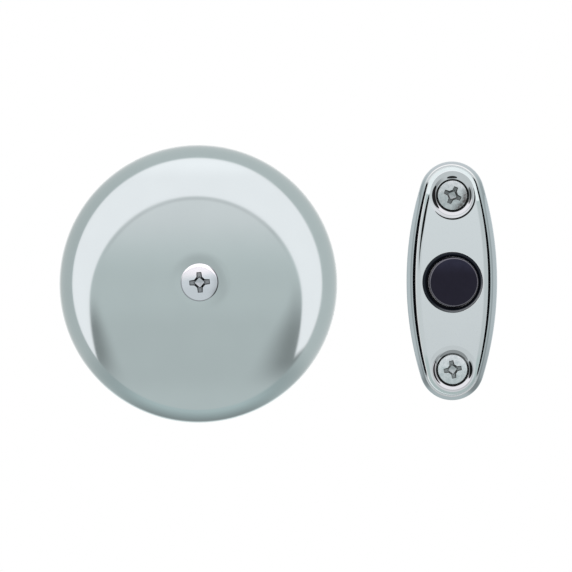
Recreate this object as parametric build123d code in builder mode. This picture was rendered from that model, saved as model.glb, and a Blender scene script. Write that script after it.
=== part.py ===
from build123d import *
from math import acos, atan2, cos, hypot, pi, radians, sin, sqrt, tan
import os

# Through-door mechanical bell: a gong unit for the inside of the door and a push unit for
# the outside, laid out side by side. The fronts face -Y, both mounting faces lie in the
# plane Y = 0, and the origin is the centre of the gong unit's mounting face.
# Lengths are in millimetres. A depth is measured forward from the mounting plane, so a
# negative depth lies inside the door.

# Driving dimensions: fits and stock
running_clearance = 0.05
loose_clearance = 0.3
face_clearance = 0.1
steel_sheet = 1.5
lever_sheet = 1.2

# Driving dimensions: gong
gong_diameter = 75.0
gong_wall = 1.5
rim_depth = 2.0
skirt_height = 2.0
skirt_slope = 80.0
shoulder_radius = 11.85
crown_edge_slope = 45.0
land_radius = 6.0
gong_hole_clearance = 0.2
gong_washer_thickness = 0.8
gong_washer_radius = 5.6

# Driving dimensions: gong screw
gong_screw_radius = 2.45
gong_screw_length = 12.0
gong_screw_head_radius = 5.0
gong_screw_head_height = 3.7
gong_screw_head_rim = 1.3

# Driving dimensions: base plate and centre post
base_radius = 30.0
bell_screw_margin = 4.5
bell_screw_hole_radius = 2.1
post_radius = 4.5
post_spigot_radius = 3.0
post_bore_end_depth = 7.0
rivet_recess = 0.2

# Driving dimensions: rod bush
rod_entry_drop = 17.0
bush_bore_radius = 2.6
bush_wall = 1.3
bush_collar_width = 0.7
bush_collar_thickness = 0.8
bush_front_depth = 4.0

# Driving dimensions: trip lever
trip_pin_radius = 1.0
trip_pin_head_radius = 1.6
trip_pin_head_length = 0.8
trip_pin_depth = 4.0
trip_pin_drop = 8.0
trip_sleeve_radius = 2.2
trip_sleeve_left = -15.0
trip_sleeve_right = 4.0
trip_pad_half_width = 4.0
trip_pad_foot = 3.8
trip_tail_reach = 5.0
trip_tail_height = 5.8
striker_reach = 7.0
striker_width = 3.9
striker_left = -14.7
ear_width = 5.0
corner_radius = 1.0

# Driving dimensions: stop buffer
buffer_radius = 2.0
buffer_stem_radius = 1.2
buffer_x = 6.6
buffer_drop = 17.4
buffer_round = 0.5

# Driving dimensions: hammer
hammer_pivot_x = -22.0
hammer_pivot_drop = 7.0
hammer_journal_radius = 1.5
hammer_shoulder_radius = 2.2
hammer_arm_back_depth = 7.0
hammer_boss_radius = 3.5
hammer_arm_width = 3.6
hammer_arm_bow = 3.0
hammer_tab_left = -14.0
hammer_tab_width = 3.5
hammer_tab_reach = 4.5
hammer_tail_width = 3.0
hammer_length = 28.65
hammer_rest_angle = 71.7
hammer_head_radius = 4.0
hammer_head_length = 4.3
hammer_head_chamfer = 0.6
hammer_rivet_radius = 1.25

# Driving dimensions: retaining clips
clip_thickness = 0.6
clip_groove_depth = 0.35
clip_ring_width = 1.4
clip_mouth = 2.0

# Driving dimensions: hammer spring
torsion_wire = 0.7
torsion_coil_radius = 3.05
torsion_turns = 4
torsion_leg_length = 8.0
spring_tab_height = 3.0
spring_tab_width = 3.0

# Driving dimensions: push plate
push_unit_x = 68.5
push_unit_z = 0.4
plate_width = 24.5
plate_end_radius = 8.75
plate_outline_rise = 0.45
plate_screw_spacing = 47.0
plate_edge_height = 1.45
band_side_width = 1.8
band_end_width = 1.1
band_top_depth = 2.5
groove_width = 0.35
groove_cut = 0.5
panel_depth = 5.2
panel_draft = 0.15
panel_round = 1.0
panel_wall = 1.8
plate_side_wall = 3.9
boss_radius = 6.5

# Driving dimensions: screw seats in the push plate
dish_radius = 6.3
dish_floor_radius = 5.1
dish_depth = 0.65
seat_lip = 0.15
seat_bore_radius = 4.4
head_rim_depth = 4.0
screw_hole_radius = 2.2

# Driving dimensions: plate screws
plate_screw_radius = 2.0
plate_screw_length = 30.0
plate_screw_head_radius = 4.0
plate_screw_dome = 1.0
plate_screw_point = 3.0

# Driving dimensions: cross recesses
recess_span = 5.2
recess_width = 1.15
recess_floor_span = 1.7
recess_floor_width = 0.8
recess_depth = 2.2
gong_recess_turn = 3.0
upper_recess_turn = 22.0
lower_recess_turn = 8.0

# Driving dimensions: button and its housing
bezel_radius = 8.2
bezel_rise = 0.4
bezel_mouth_radius = 7.3
bezel_mouth_chamfer = 0.4
cap_radius = 6.6
cap_rise = 3.2
cap_bevel = 0.6
cap_skirt_depth = 4.4
cap_wall = 1.2
cap_front_wall = 2.0
rod_socket = 1.2
cup_floor = 0.9
barrel_radius = 5.0
barrel_wall = 1.5
barrel_length = 8.0
lug_end = 2.5
lug_width = 7.0
lug_thickness = 1.5
peg_radius = 1.0
peg_spacing = 22.0
peg_stand = 0.5
push_washer_radius = 2.4
push_washer_thickness = 0.4

# Driving dimensions: push rod and button spring
rod_radius = 2.0
rod_end_depth = -55.0
rod_chamfer = 0.5
button_wire = 0.6
button_coil_radius = 2.8
button_spring_pitch = 1.9


def front_plane(depth, x=0, z=0):
    """Sketch plane that faces forward at a depth, centred over a given axis."""
    return Plane(origin=(x, -depth, z), x_dir=(1, 0, 0), z_dir=(0, -1, 0))


def side_plane(x):
    """Sketch plane across the lever's pin: first axis is the depth, second is Z."""
    return Plane(origin=(x, 0, 0), x_dir=(0, -1, 0), z_dir=(-1, 0, 0))


def turning_plane(x, z):
    """Half-section plane of a turned piece: first axis is the radius, second the depth."""
    return Plane(origin=(x, 0, z), x_dir=(1, 0, 0), z_dir=(0, 0, -1))


def turning_axis(x, z):
    """Axis that runs forward through a point of the mounting plane."""
    return Axis((x, 0, z), (0, -1, 0))


def turn(corners, x, z, mode=Mode.ADD):
    """Turn a closed half-section, given as (radius, depth) corners, about a forward axis."""
    with BuildSketch(turning_plane(x, z)) as half_section:
        with BuildLine():
            Polyline(*corners, close=True)
        make_face()
    revolve(half_section.sketch, axis=turning_axis(x, z), mode=mode)


def turn_ring(inner, outer, back, front, x, z, mode=Mode.ADD):
    """Turn a plain ring, or a disc where the inner radius is zero."""
    turn([(inner, back), (outer, back), (outer, front), (inner, front)], x, z, mode)


def dome_middle(radius, base, height):
    """Point halfway along the radius of a shallow dome that stands on a base depth."""
    sphere = (radius**2 + height**2) / (2 * height)
    return (radius / 2, base + height - sphere + sqrt(sphere**2 - (radius / 2) ** 2))


def cut_cross_recess(front, x, z, turned):
    """Sink a tapered cross into a screw head from its front."""
    for angle in (turned, turned + 90):
        with BuildSketch(front_plane(front, x, z)) as mouth:
            Rectangle(recess_span, recess_width, rotation=angle)
        with BuildSketch(front_plane(front - recess_depth, x, z)) as floor:
            Rectangle(recess_floor_span, recess_floor_width, rotation=angle)
        loft([mouth.sketch, floor.sketch], mode=Mode.SUBTRACT)


def clip_ring(bore, back, x, z):
    """Flat spring clip with an open mouth that points down."""
    with BuildSketch(front_plane(back, x, z)) as ring:
        Circle(bore + clip_ring_width)
        Circle(bore, mode=Mode.SUBTRACT)
        Rectangle(clip_mouth, bore + clip_ring_width, align=(Align.CENTER, Align.MAX), mode=Mode.SUBTRACT)
    extrude(ring.sketch, amount=clip_thickness)


# Gong meridian: a flat land, a crown arc, a tighter shoulder arc and a short skirt
gong_radius = gong_diameter / 2
skirt_angle = radians(skirt_slope)
crown_edge_angle = radians(crown_edge_slope)
skirt_run = skirt_height / tan(skirt_angle)
shoulder_centre_radius = gong_radius - skirt_run - shoulder_radius * sin(skirt_angle)
shoulder_centre_depth = rim_depth + skirt_height - shoulder_radius * cos(skirt_angle)
crown_edge_radius = shoulder_centre_radius + shoulder_radius * sin(crown_edge_angle)
crown_radius = (crown_edge_radius - land_radius) / sin(crown_edge_angle)
crown_centre_depth = shoulder_centre_depth - (crown_radius - shoulder_radius) * cos(crown_edge_angle)
gong_depth = crown_centre_depth + crown_radius
gong_hole_radius = gong_screw_radius + gong_hole_clearance


def on_crown(angle, inset):
    """Point of the crown where it slopes by an angle, moved in from the outer face."""
    radius = crown_radius - inset
    return (land_radius + radius * sin(angle), crown_centre_depth + radius * cos(angle))


def on_shoulder(angle, inset):
    """Point of the shoulder where it slopes by an angle, moved in from the outer face."""
    radius = shoulder_radius - inset
    return (
        shoulder_centre_radius + radius * sin(angle),
        shoulder_centre_depth + radius * cos(angle),
    )


def rim_point(inset):
    """Point where the skirt meets the rim plane, moved in from the outer face."""
    skirt_top = on_shoulder(skirt_angle, inset)
    return (skirt_top[0] + (skirt_top[1] - rim_depth) / tan(skirt_angle), rim_depth)


with BuildPart() as gong:
    shoulder_middle = (crown_edge_angle + skirt_angle) / 2
    with BuildSketch(turning_plane(0, 0)) as gong_section:
        with BuildLine():
            for inset in (0, gong_wall):
                Line((gong_hole_radius, gong_depth - inset), (land_radius, gong_depth - inset))
                ThreePointArc(
                    on_crown(0, inset),
                    on_crown(crown_edge_angle / 2, inset),
                    on_crown(crown_edge_angle, inset),
                )
                ThreePointArc(
                    on_shoulder(crown_edge_angle, inset),
                    on_shoulder(shoulder_middle, inset),
                    on_shoulder(skirt_angle, inset),
                )
                Line(on_shoulder(skirt_angle, inset), rim_point(inset))
            Line((gong_hole_radius, gong_depth), (gong_hole_radius, gong_depth - gong_wall))
            Line(rim_point(0), rim_point(gong_wall))
        make_face()
    revolve(axis=turning_axis(0, 0))

gong.part.label = "gong"

# Base plate: a steel disc with two ears for the lever pin and a tab for the hammer spring
base_front = steel_sheet
bell_screw_spacing = 2 * (base_radius - bell_screw_margin)
rod_entry_z = -rod_entry_drop
bush_body_radius = bush_bore_radius + bush_wall
trip_pin_z = -trip_pin_drop
hammer_pivot_z = -hammer_pivot_drop
ear_left_x = trip_sleeve_left - loose_clearance
ear_right_x = trip_sleeve_right + loose_clearance + steel_sheet
ear_window_length = trip_pin_depth + ear_width / 2
spring_leg_x = hammer_pivot_x + torsion_coil_radius
spring_tab_x = spring_leg_x + torsion_wire / 2 + steel_sheet
spring_tab_z = hammer_pivot_z - torsion_leg_length

with BuildPart() as base_plate:
    turn_ring(0, base_radius, 0, base_front, 0, 0)
    for ear_x in (ear_left_x, ear_right_x):
        with BuildSketch(side_plane(ear_x)):
            with Locations((trip_pin_depth / 2, trip_pin_z)):
                Rectangle(trip_pin_depth, ear_width)
            with Locations((trip_pin_depth, trip_pin_z)):
                Circle(ear_width / 2)
                Circle(trip_pin_radius + running_clearance, mode=Mode.SUBTRACT)
        extrude(amount=steel_sheet)
    with BuildSketch(front_plane(0)):
        for ear_x in (ear_left_x, ear_right_x):
            with Locations((ear_x + ear_window_length / 2, trip_pin_z)):
                Rectangle(ear_window_length, ear_width)
        with Locations((0, rod_entry_z)):
            Circle(bush_body_radius + running_clearance)
        with GridLocations(0, bell_screw_spacing, 1, 2):
            Circle(bell_screw_hole_radius)
        Circle(post_spigot_radius + running_clearance)
        with Locations((hammer_pivot_x, hammer_pivot_z)):
            Circle(hammer_journal_radius + running_clearance)
        with Locations((buffer_x, -buffer_drop)):
            Circle(buffer_stem_radius + running_clearance)
    extrude(amount=base_front, mode=Mode.SUBTRACT)
    with BuildSketch(side_plane(spring_tab_x)):
        with Locations((0, spring_tab_z)):
            Rectangle(base_front + spring_tab_height, spring_tab_width, align=(Align.MIN, Align.MIN))
    extrude(amount=steel_sheet)

base_plate.part.label = "base_plate"

# Centre post: carries the gong on a washer and is riveted into the base plate
post_front = gong_depth - gong_wall - gong_washer_thickness

with BuildPart() as centre_post:
    post_bore_radius = gong_screw_radius + running_clearance
    turn_ring(0, post_spigot_radius, rivet_recess, base_front, 0, 0)
    turn_ring(0, post_radius, base_front, post_front, 0, 0)
    turn_ring(0, post_bore_radius, post_bore_end_depth, post_front, 0, 0, Mode.SUBTRACT)

centre_post.part.label = "centre_post"

with BuildPart() as gong_washer:
    turn_ring(gong_hole_radius, gong_washer_radius, post_front, gong_depth - gong_wall, 0, 0)

gong_washer.part.label = "gong_washer"

# Gong screw: a domed head on the gong's land and a shank in the post
gong_screw_front = gong_depth + gong_screw_head_height

with BuildPart() as gong_screw:
    with BuildSketch(turning_plane(0, 0)):
        with BuildLine():
            rim_top = (gong_screw_head_radius, gong_depth + gong_screw_head_rim)
            dome_height = gong_screw_head_height - gong_screw_head_rim
            Polyline(
                (0, gong_screw_front),
                (0, gong_depth - gong_screw_length),
                (gong_screw_radius, gong_depth - gong_screw_length),
                (gong_screw_radius, gong_depth),
                (gong_screw_head_radius, gong_depth),
                rim_top,
            )
            ThreePointArc(rim_top, dome_middle(rim_top[0], rim_top[1], dome_height), (0, gong_screw_front))
        make_face()
    revolve(axis=turning_axis(0, 0))
    cut_cross_recess(gong_screw_front, 0, 0, gong_recess_turn)

gong_screw.part.label = "gong_screw"

# Rod bush: a plastic sleeve that leads the push rod through the base plate
with BuildPart() as rod_bush:
    collar_radius = bush_body_radius + bush_collar_width
    turn_ring(bush_bore_radius, bush_body_radius, 0, bush_front_depth, 0, rod_entry_z)
    collar_front = base_front + bush_collar_thickness
    turn_ring(bush_bore_radius, collar_radius, base_front, collar_front, 0, rod_entry_z)

rod_bush.part.label = "rod_bush"

# Trip lever: a sleeve on the pin, a pad in front of the rod and a striker under the hammer
sleeve_length = trip_sleeve_right - trip_sleeve_left
pad_front = trip_pin_depth + trip_sleeve_radius
pad_back = pad_front - lever_sheet
pad_bottom = rod_entry_z - trip_pad_foot
striker_top = trip_pin_z + trip_sleeve_radius

with BuildPart() as trip_lever:
    with BuildSketch(side_plane(trip_sleeve_right)):
        with Locations((trip_pin_depth, trip_pin_z)):
            Circle(trip_sleeve_radius)
    extrude(amount=sleeve_length)
    with BuildSketch(front_plane(pad_back)):
        with Locations((0, trip_pin_z)):
            Rectangle(2 * trip_pad_half_width, trip_pin_z - pad_bottom, align=(Align.CENTER, Align.MAX))
        with Locations((0, pad_bottom)):
            tail_length = trip_pad_half_width + trip_tail_reach
            Rectangle(tail_length, trip_tail_height, align=(Align.MIN, Align.MIN))
    extrude(amount=lever_sheet)
    foot_edges = trip_lever.edges().filter_by(Axis.Y).group_by(Axis.Z)[0]
    fillet(foot_edges, radius=corner_radius)
    with BuildSketch(front_plane(trip_pin_depth)):
        with Locations((striker_left, striker_top)):
            Rectangle(striker_width, lever_sheet, align=(Align.MIN, Align.MAX))
    extrude(amount=striker_reach)
    tip_edges = trip_lever.edges().filter_by(Axis.Z).group_by(Axis.Y)[0]
    fillet(tip_edges, radius=corner_radius)
    with BuildSketch(side_plane(trip_sleeve_right)):
        with Locations((trip_pin_depth, trip_pin_z)):
            Circle(trip_pin_radius + running_clearance)
    extrude(amount=sleeve_length, mode=Mode.SUBTRACT)

trip_lever.part.label = "trip_lever"

with BuildPart() as trip_lever_pin:
    pin_left = ear_left_x - steel_sheet - trip_pin_radius
    with BuildSketch(side_plane(ear_right_x)):
        with Locations((trip_pin_depth, trip_pin_z)):
            Circle(trip_pin_radius)
    extrude(amount=ear_right_x - pin_left)
    with BuildSketch(side_plane(ear_right_x + trip_pin_head_length)):
        with Locations((trip_pin_depth, trip_pin_z)):
            Circle(trip_pin_head_radius)
    extrude(amount=trip_pin_head_length)

trip_lever_pin.part.label = "trip_lever_pin"

with BuildPart() as stop_buffer:
    turn_ring(0, buffer_stem_radius, rivet_recess, base_front, buffer_x, -buffer_drop)
    turn_ring(0, buffer_radius, base_front, pad_back - loose_clearance, buffer_x, -buffer_drop)
    fillet(stop_buffer.edges().sort_by(Axis.Y)[0], radius=buffer_round)

stop_buffer.part.label = "stop_buffer"

# Hammer pivot: a shouldered post with a journal and a groove for the clip
arm_front = hammer_arm_back_depth + steel_sheet
hammer_groove_back = arm_front + face_clearance
hammer_groove_front = hammer_groove_back + clip_thickness
hammer_groove_radius = hammer_journal_radius - clip_groove_depth
journal_front = hammer_groove_front + clip_thickness

with BuildPart() as hammer_pivot:
    shoulder_front = hammer_arm_back_depth - face_clearance
    pivot_place = (hammer_pivot_x, hammer_pivot_z)
    turn_ring(0, hammer_journal_radius, rivet_recess, base_front, *pivot_place)
    turn_ring(0, hammer_shoulder_radius, base_front, shoulder_front, *pivot_place)
    turn_ring(0, hammer_journal_radius, shoulder_front, hammer_groove_back, *pivot_place)
    turn_ring(0, hammer_groove_radius, hammer_groove_back, hammer_groove_front, *pivot_place)
    turn_ring(0, hammer_journal_radius, hammer_groove_front, journal_front, *pivot_place)

hammer_pivot.part.label = "hammer_pivot"

with BuildPart() as hammer_clip:
    clip_ring(hammer_groove_radius + running_clearance, hammer_groove_back, hammer_pivot_x, hammer_pivot_z)

hammer_clip.part.label = "hammer_clip"

# Hammer arm: a flat blank with a bowed arm and a tail whose tab is bent forward
hammer_angle = radians(hammer_rest_angle)
hammer_head_x = hammer_pivot_x + hammer_length * cos(hammer_angle)
hammer_head_z = hammer_pivot_z + hammer_length * sin(hammer_angle)
arm_middle_x = (hammer_pivot_x + hammer_head_x) / 2 - hammer_arm_bow * sin(hammer_angle)
arm_middle_z = (hammer_pivot_z + hammer_head_z) / 2 + hammer_arm_bow * cos(hammer_angle)
tab_bottom = striker_top + loose_clearance
tab_right = hammer_tab_left + hammer_tab_width

with BuildPart() as hammer_arm:
    with BuildSketch(front_plane(hammer_arm_back_depth)):
        with BuildLine():
            ThreePointArc(
                (hammer_pivot_x, hammer_pivot_z),
                (arm_middle_x, arm_middle_z),
                (hammer_head_x, hammer_head_z),
            )
        trace(line_width=hammer_arm_width)
        with Locations((hammer_pivot_x, hammer_pivot_z)):
            Circle(hammer_boss_radius)
        with Locations((hammer_head_x, hammer_head_z)):
            Circle(hammer_arm_width / 2 + corner_radius)
        with Locations((hammer_pivot_x, tab_bottom)):
            Rectangle(tab_right - hammer_pivot_x, hammer_tail_width, align=(Align.MIN, Align.MIN))
        with Locations((hammer_pivot_x, hammer_pivot_z)):
            Circle(hammer_journal_radius + running_clearance, mode=Mode.SUBTRACT)
        with Locations((hammer_head_x, hammer_head_z)):
            Circle(hammer_rivet_radius, mode=Mode.SUBTRACT)
    extrude(amount=steel_sheet)
    with BuildSketch(front_plane(hammer_arm_back_depth)):
        with Locations((tab_right, tab_bottom)):
            Rectangle(hammer_tab_width, steel_sheet, align=(Align.MAX, Align.MIN))
    extrude(amount=steel_sheet + hammer_tab_reach)

hammer_arm.part.label = "hammer_arm"

# Hammer head: a brass slug behind the arm, riveted through it
with BuildPart() as hammer_head:
    head_back = hammer_arm_back_depth - hammer_head_length
    chamfered_radius = hammer_head_radius - hammer_head_chamfer
    rivet_front = arm_front + hammer_head_chamfer
    turn(
        [
            (0, head_back),
            (chamfered_radius, head_back),
            (hammer_head_radius, head_back + hammer_head_chamfer),
            (hammer_head_radius, hammer_arm_back_depth - hammer_head_chamfer),
            (chamfered_radius, hammer_arm_back_depth),
            (hammer_rivet_radius, hammer_arm_back_depth),
            (hammer_rivet_radius, arm_front),
            (hammer_rivet_radius + hammer_head_chamfer, arm_front),
            (hammer_rivet_radius, rivet_front),
            (0, rivet_front),
        ],
        hammer_head_x,
        hammer_head_z,
    )

hammer_head.part.label = "hammer_head"

# Hammer spring: its back leg bears on the base plate's tab, its hook on the arm's left edge
hook_offset = hammer_arm_width / 2 + running_clearance + torsion_wire / 2
hook_x = arm_middle_x - hook_offset * sin(hammer_angle)
hook_z = arm_middle_z + hook_offset * cos(hammer_angle)
hook_distance = hypot(hook_x - hammer_pivot_x, hook_z - hammer_pivot_z)
hook_bearing = atan2(hook_z - hammer_pivot_z, hook_x - hammer_pivot_x)
hook_root_angle = hook_bearing - acos(torsion_coil_radius / hook_distance)
hook_reach = sqrt(hook_distance**2 - torsion_coil_radius**2)
coil_turns = torsion_turns + hook_root_angle / (2 * pi)
coil_circumference = 2 * pi * torsion_coil_radius
wire_turns = coil_turns + (torsion_leg_length + hook_reach) / coil_circumference
leg_depth = base_front + face_clearance + torsion_wire / 2
hook_depth = hammer_arm_back_depth - face_clearance - torsion_wire / 2
torsion_pitch = (hook_depth - leg_depth) / wire_turns
coil_travel = torsion_pitch * coil_turns
coil_back = leg_depth + torsion_pitch * torsion_leg_length / coil_circumference
coil_place = front_plane(coil_back, hammer_pivot_x, hammer_pivot_z)
coil_path = coil_place.location * Helix(torsion_pitch, coil_travel, torsion_coil_radius)
leg_path = Line((coil_path @ 0) - (coil_path % 0) * torsion_leg_length, coil_path @ 0)
hook_path = FilletPolyline(
    coil_path @ 1,
    (hook_x, -hook_depth, hook_z),
    (hook_x, -arm_front, hook_z),
    radius=torsion_wire,
)

with BuildPart() as hammer_spring:
    for path in (leg_path, coil_path, hook_path):
        with BuildSketch(Plane(origin=path @ 0, z_dir=path % 0)) as wire_section:
            Circle(torsion_wire / 2)
        sweep(wire_section.sketch, path=path, is_frenet=True)

hammer_spring.part.label = "hammer_spring"

# Push plate outline: two long side arcs that run tangent into two end arcs. It stands a
# little above the middle of the two screws and the button.
half_screw_spacing = plate_screw_spacing / 2
plate_centre_z = push_unit_z + plate_outline_rise


def plate_face(depth, side_inset=0, end_inset=0):
    """Face of the push plate's outline at a depth, moved in at its sides and at its ends."""
    half_width = plate_width / 2 - side_inset
    end_radius = plate_end_radius - end_inset
    side_arc_radius = (half_width**2 + half_screw_spacing**2 - end_radius**2) / (
        2 * (half_width - end_radius)
    )
    side_centre = side_arc_radius - half_width
    centre_distance = side_arc_radius - end_radius
    tangent_x = end_radius * side_centre / centre_distance
    tangent_z = half_screw_spacing + end_radius * half_screw_spacing / centre_distance
    top_z = half_screw_spacing + end_radius
    with BuildSketch(front_plane(depth, push_unit_x, plate_centre_z)) as outline:
        with BuildLine():
            ThreePointArc((tangent_x, -tangent_z), (half_width, 0), (tangent_x, tangent_z))
            ThreePointArc((tangent_x, tangent_z), (0, top_z), (-tangent_x, tangent_z))
            ThreePointArc((-tangent_x, tangent_z), (-half_width, 0), (-tangent_x, -tangent_z))
            ThreePointArc((-tangent_x, -tangent_z), (0, -top_z), (tangent_x, -tangent_z))
        make_face()
    return outline.sketch


# Push plate: an edge, a sloped band, a groove and a raised panel with two dished screw seats
plate_screw_heights = (push_unit_z + half_screw_spacing, push_unit_z - half_screw_spacing)
peg_heights = (push_unit_z + peg_spacing / 2, push_unit_z - peg_spacing / 2)
groove_floor = band_top_depth - groove_cut
panel_side_inset = band_side_width + groove_width
panel_end_inset = band_end_width + groove_width
panel_back = panel_depth - panel_wall
head_cone_depth = head_rim_depth - plate_screw_head_radius + screw_hole_radius
dish_floor = panel_depth - dish_depth
cutter_reach = panel_depth + 1
lug_back = panel_back - lug_thickness
peg_back = lug_back - peg_stand

with BuildPart() as push_plate:
    extrude(plate_face(0), amount=plate_edge_height)
    band_top = plate_face(band_top_depth, band_side_width, band_end_width)
    loft((plate_face(plate_edge_height), band_top), ruled=True)
    groove_face = plate_face(groove_floor, band_side_width, band_end_width)
    extrude(groove_face, amount=groove_cut, mode=Mode.SUBTRACT)
    panel_foot = plate_face(groove_floor, panel_side_inset, panel_end_inset)
    panel_face = plate_face(panel_depth, panel_side_inset + panel_draft, panel_end_inset + panel_draft)
    loft((panel_foot, panel_face), ruled=True)
    fillet(push_plate.faces().sort_by(Axis.Y)[0].edges(), radius=panel_round)
    extrude(plate_face(0, plate_side_wall, plate_side_wall), amount=panel_back, mode=Mode.SUBTRACT)
    for screw_z in plate_screw_heights:
        turn_ring(0, boss_radius, 0, panel_back, push_unit_x, screw_z)
        turn(
            [
                (0, 0),
                (screw_hole_radius, 0),
                (screw_hole_radius, head_cone_depth),
                (plate_screw_head_radius, head_rim_depth),
                (seat_bore_radius, head_rim_depth),
                (seat_bore_radius, dish_floor - seat_lip),
                (dish_floor_radius, dish_floor),
                (dish_radius, panel_depth),
                (dish_radius, cutter_reach),
                (0, cutter_reach),
            ],
            push_unit_x,
            screw_z,
            Mode.SUBTRACT,
        )
    button_hole = bezel_radius + running_clearance
    turn_ring(0, button_hole, 0, cutter_reach, push_unit_x, push_unit_z, Mode.SUBTRACT)
    for peg_z in peg_heights:
        turn_ring(0, peg_radius, peg_back, panel_back, push_unit_x, peg_z)

push_plate.part.label = "push_plate"

# Plate screws: raised countersunk heads with a cross recess and a pointed shank
screw_tip_depth = head_rim_depth - plate_screw_length
cone_end_depth = head_rim_depth - plate_screw_head_radius + plate_screw_radius
screw_front = head_rim_depth + plate_screw_dome
plate_screws = (
    ("upper_screw", plate_screw_heights[0], upper_recess_turn),
    ("lower_screw", plate_screw_heights[1], lower_recess_turn),
)
plate_screw_parts = []
for screw_name, screw_z, recess_turn in plate_screws:
    with BuildPart() as plate_screw:
        with BuildSketch(turning_plane(push_unit_x, screw_z)):
            with BuildLine():
                head_rim = (plate_screw_head_radius, head_rim_depth)
                Polyline(
                    (0, screw_front),
                    (0, screw_tip_depth),
                    (plate_screw_radius, screw_tip_depth + plate_screw_point),
                    (plate_screw_radius, cone_end_depth),
                    head_rim,
                )
                ThreePointArc(
                    head_rim,
                    dome_middle(plate_screw_head_radius, head_rim_depth, plate_screw_dome),
                    (0, screw_front),
                )
            make_face()
        revolve(axis=turning_axis(push_unit_x, screw_z))
        cut_cross_recess(screw_front, push_unit_x, screw_z, recess_turn)
    plate_screw.part.label = screw_name
    plate_screw_parts.append(plate_screw.part)

# Button housing: a cup behind the bezel, a barrel for the spring and a lug that holds it
bezel_front = panel_depth + bezel_rise
cup_bore_radius = cap_radius + loose_clearance
lug_length = peg_spacing + 2 * lug_end
rod_hole_radius = rod_radius + 2 * running_clearance
barrel_floor_depth = barrel_wall - barrel_length

with BuildPart() as button_housing:
    push_place = (push_unit_x, push_unit_z)
    turn_ring(0, bezel_radius, 0, bezel_front, *push_place)
    fillet(button_housing.edges().sort_by(Axis.Y)[0], radius=bezel_mouth_chamfer)
    with BuildSketch(front_plane(lug_back, push_unit_x, push_unit_z)):
        SlotOverall(lug_length, lug_width, rotation=90)
        with GridLocations(0, peg_spacing, 1, 2):
            Circle(peg_radius + face_clearance, mode=Mode.SUBTRACT)
    extrude(amount=lug_thickness)
    turn_ring(0, barrel_radius, -barrel_length, 0, *push_place)
    turn(
        [
            (0, -barrel_length),
            (rod_hole_radius, -barrel_length),
            (rod_hole_radius, barrel_floor_depth),
            (barrel_radius - barrel_wall, barrel_floor_depth),
            (barrel_radius - barrel_wall, cup_floor),
            (cup_bore_radius, cup_floor),
            (cup_bore_radius, bezel_front - bezel_mouth_chamfer),
            (bezel_mouth_radius, bezel_front),
            (0, bezel_front),
        ],
        *push_place,
        Mode.SUBTRACT,
    )

button_housing.part.label = "button_housing"

with BuildPart() as push_on_washers:
    washer_back = lug_back - push_washer_thickness
    washer_bore = peg_radius + running_clearance
    for peg_z in peg_heights:
        turn_ring(washer_bore, push_washer_radius, washer_back, lug_back, push_unit_x, peg_z)

push_on_washers.part.label = "push_on_washers"

# Button cap: a hollow plunger with a bevelled front, moulded onto the push rod
cap_front = bezel_front + cap_rise
cap_ceiling = cap_front - cap_front_wall
rod_front = cap_ceiling + rod_socket

with BuildPart() as button_cap:
    turn(
        [
            (0, rod_front),
            (rod_radius, rod_front),
            (rod_radius, cap_ceiling),
            (cap_radius - cap_wall, cap_ceiling),
            (cap_radius - cap_wall, cap_skirt_depth),
            (cap_radius, cap_skirt_depth),
            (cap_radius, cap_front - cap_bevel),
            (cap_radius - cap_bevel, cap_front),
            (0, cap_front),
        ],
        *push_place,
    )

button_cap.part.label = "button_cap"

# Push rod: carries the cap, takes the clip behind the barrel and reaches through the door
rod_groove_front = -barrel_length - face_clearance
rod_groove_back = rod_groove_front - clip_thickness
rod_groove_radius = rod_radius - clip_groove_depth

with BuildPart() as push_rod:
    turn(
        [
            (0, rod_front),
            (rod_radius, rod_front),
            (rod_radius, rod_groove_front),
            (rod_groove_radius, rod_groove_front),
            (rod_groove_radius, rod_groove_back),
            (rod_radius, rod_groove_back),
            (rod_radius, rod_end_depth + rod_chamfer),
            (rod_radius - rod_chamfer, rod_end_depth),
            (0, rod_end_depth),
        ],
        *push_place,
    )

push_rod.part.label = "push_rod"

with BuildPart() as rod_clip:
    clip_ring(rod_groove_radius + running_clearance, rod_groove_back, *push_place)

rod_clip.part.label = "rod_clip"

# Button spring: stands in the barrel round the rod and bears on the inside of the cap
with BuildPart() as button_spring:
    spring_back = barrel_floor_depth + button_wire / 2
    spring_height = cap_ceiling - button_wire / 2 - spring_back
    button_coil = Helix(button_spring_pitch, spring_height, button_coil_radius, mode=Mode.PRIVATE)
    button_coil_path = front_plane(spring_back, *push_place).location * button_coil
    with BuildLine():
        add(button_coil_path)
    with BuildSketch(Plane(origin=button_coil_path @ 0, z_dir=button_coil_path % 0)):
        Circle(button_wire / 2)
    sweep(is_frenet=True)

button_spring.part.label = "button_spring"

os.makedirs("parts", exist_ok=True)
for piece in (
    gong.part,
    base_plate.part,
    centre_post.part,
    gong_washer.part,
    gong_screw.part,
    rod_bush.part,
    trip_lever.part,
    trip_lever_pin.part,
    stop_buffer.part,
    hammer_pivot.part,
    hammer_clip.part,
    hammer_arm.part,
    hammer_head.part,
    hammer_spring.part,
    push_plate.part,
    *plate_screw_parts,
    button_housing.part,
    push_on_washers.part,
    button_cap.part,
    push_rod.part,
    rod_clip.part,
    button_spring.part,
):
    export_step(piece, f"parts/{piece.label}.step")
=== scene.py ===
"""Looks of a through-door mechanical bell: a chromed gong unit and a push plate beside it.

Lengths are in millimetres until a mesh is finished. A depth is measured forward from the
mounting plane, so a point of the frame lies at (across, -depth, up).
"""

from math import acos, asin, atan2, cos, pi, radians, sin, tan

import bmesh
import bpy
from mathutils import Matrix, Vector


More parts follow.
